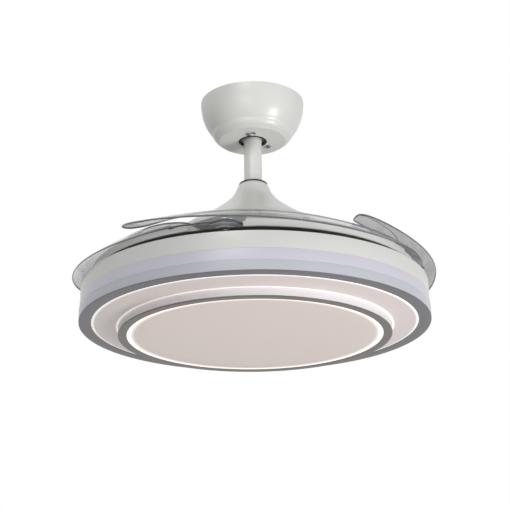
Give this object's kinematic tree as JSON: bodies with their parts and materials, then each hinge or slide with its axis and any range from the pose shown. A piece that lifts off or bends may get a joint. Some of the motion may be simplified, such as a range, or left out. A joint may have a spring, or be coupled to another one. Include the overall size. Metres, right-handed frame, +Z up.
{
  "type": "retractable blade ceiling fan",
  "caption": "Ceiling fan with clear curved blades folded round a stepped round lamp, hung by a short rod and flared cover from a bowl canopy.",
  "frame": {"origin": "middle of the ceiling bracket's top face, which lies against the ceiling", "axes": "+Z up into the ceiling and along the rod, -Y towards the viewer of the picture, +X to the viewer's right"},
  "size_m": [0.525, 0.525, 0.3693],
  "materials": {
    "white_paint": "warm white satin powder coat",
    "zinc_steel": "bright zinc plate",
    "ground_steel": "ground",
    "box_plastic": "moulded, fine matt",
    "ball_nylon": "moulded nylon",
    "seal_rubber": "matt black",
    "lead_jacket": "PVC jacket",
    "core_steel": "laminated and cast",
    "winding_copper": "enamelled copper wire",
    "magnet_ferrite": "sintered ferrite",
    "black_paint": "matt black",
    "lavender_acrylic": "satin acrylic with a lavender tint",
    "blue_acrylic": "satin acrylic with a pale blue tint",
    "grey_trim": "satin grey",
    "taupe_trim": "satin warm grey",
    "recess_acrylic": "opal acrylic, softly lit",
    "opal_acrylic": "opal acrylic, warm",
    "pan_white": "white reflector paint",
    "board_white": "white solder mask",
    "tray_plastic": "moulded white ABS",
    "clear_blade": "clear smoke-grey polycarbonate",
    "hub_plastic": "glass-filled nylon",
    "spring_steel": "spring wire",
    "pin_steel": "turned",
    "post_rubber": "soft bumper"
  },
  "bodies": {
    "ceiling_mount": {"hanger_bracket": "zinc_steel", "canopy": "white_paint", "canopy_screw_1": "zinc_steel", "canopy_screw_2": "zinc_steel", "remote_receiver": "box_plastic", "terminal_block": "box_plastic"},
    "hanging_frame": {"hanger_ball": "ball_nylon", "ball_pin": "zinc_steel", "yoke_pin": "zinc_steel", "yoke_pin_clip": "zinc_steel", "downrod": "white_paint", "yoke": "white_paint", "cover_seal": "seal_rubber", "rod_cover": "white_paint", "supply_lead": "lead_jacket", "motor_shaft": "ground_steel", "stator_core": "core_steel", "upper_winding": "winding_copper", "lower_winding": "winding_copper", "shaft_nut": "zinc_steel", "lamp_base_plate": "black_paint", "lamp_housing": "white_paint", "upper_light_band": "lavender_acrylic", "lower_light_band": "blue_acrylic", "outer_trim_ring": "grey_trim", "recess_diffuser": "recess_acrylic", "drum_light_band": "blue_acrylic", "inner_trim_ring": "taupe_trim", "centre_diffuser": "opal_acrylic", "reflector_pan": "pan_white", "outer_led_board": "board_white", "centre_led_board": "board_white", "led_driver": "board_white"},
    "rotor": {"motor_upper_shell": "white_paint", "motor_lower_shell": "core_steel", "magnet_ring": "magnet_ferrite", "upper_bearing": "ground_steel", "lower_bearing": "ground_steel", "blade_tray": "tray_plastic", "pivot_spider": "zinc_steel", "pivot_pin_1": "pin_steel", "pivot_pin_2": "pin_steel", "pivot_pin_3": "pin_steel", "pivot_pin_4": "pin_steel", "rest_post_1": "post_rubber", "rest_post_2": "post_rubber", "rest_post_3": "post_rubber", "rest_post_4": "post_rubber"},
    "blade_arm_1": {"blade_1": "clear_blade", "blade_hub_1": "hub_plastic", "return_spring_1": "spring_steel"},
    "blade_arm_2": {"blade_2": "clear_blade", "blade_hub_2": "hub_plastic", "return_spring_2": "spring_steel"},
    "blade_arm_3": {"blade_3": "clear_blade", "blade_hub_3": "hub_plastic", "return_spring_3": "spring_steel"},
    "blade_arm_4": {"blade_4": "clear_blade", "blade_hub_4": "hub_plastic", "return_spring_4": "spring_steel"}
  },
  "joints": [
    {"name": "frame_swing", "type": "hinge", "parent": "ceiling_mount", "child": "hanging_frame", "pos_m": [0, 0, -0.034], "axis": [1, 0, 0], "range_deg": [-8, 8]},
    {"name": "rotor_spin", "type": "hinge", "parent": "hanging_frame", "child": "rotor", "pos_m": [0, 0, -0.28], "axis": [0, 0, 1], "continuous": true},
    {"name": "blade_1_swing", "type": "hinge", "parent": "rotor", "child": "blade_arm_1", "pos_m": [0.21698, -0.03631, -0.283], "axis": [0, 0, 1], "range_deg": [0, 84], "stiffness_Nm_per_rad": 0.1},
    {"name": "blade_2_swing", "type": "hinge", "parent": "rotor", "child": "blade_arm_2", "pos_m": [0.03631, 0.21698, -0.283], "axis": [0, 0, 1], "range_deg": [0, 84], "stiffness_Nm_per_rad": 0.1},
    {"name": "blade_3_swing", "type": "hinge", "parent": "rotor", "child": "blade_arm_3", "pos_m": [-0.21698, 0.03631, -0.283], "axis": [0, 0, 1], "range_deg": [0, 84], "stiffness_Nm_per_rad": 0.1},
    {"name": "blade_4_swing", "type": "hinge", "parent": "rotor", "child": "blade_arm_4", "pos_m": [-0.03631, -0.21698, -0.283], "axis": [0, 0, 1], "range_deg": [0, 84], "stiffness_Nm_per_rad": 0.1}
  ],
  "couplings": [
    {"joint": "blade_2_swing", "follows": "blade_1_swing", "ratio": 1},
    {"joint": "blade_3_swing", "follows": "blade_1_swing", "ratio": 1},
    {"joint": "blade_4_swing", "follows": "blade_1_swing", "ratio": 1}
  ]
}
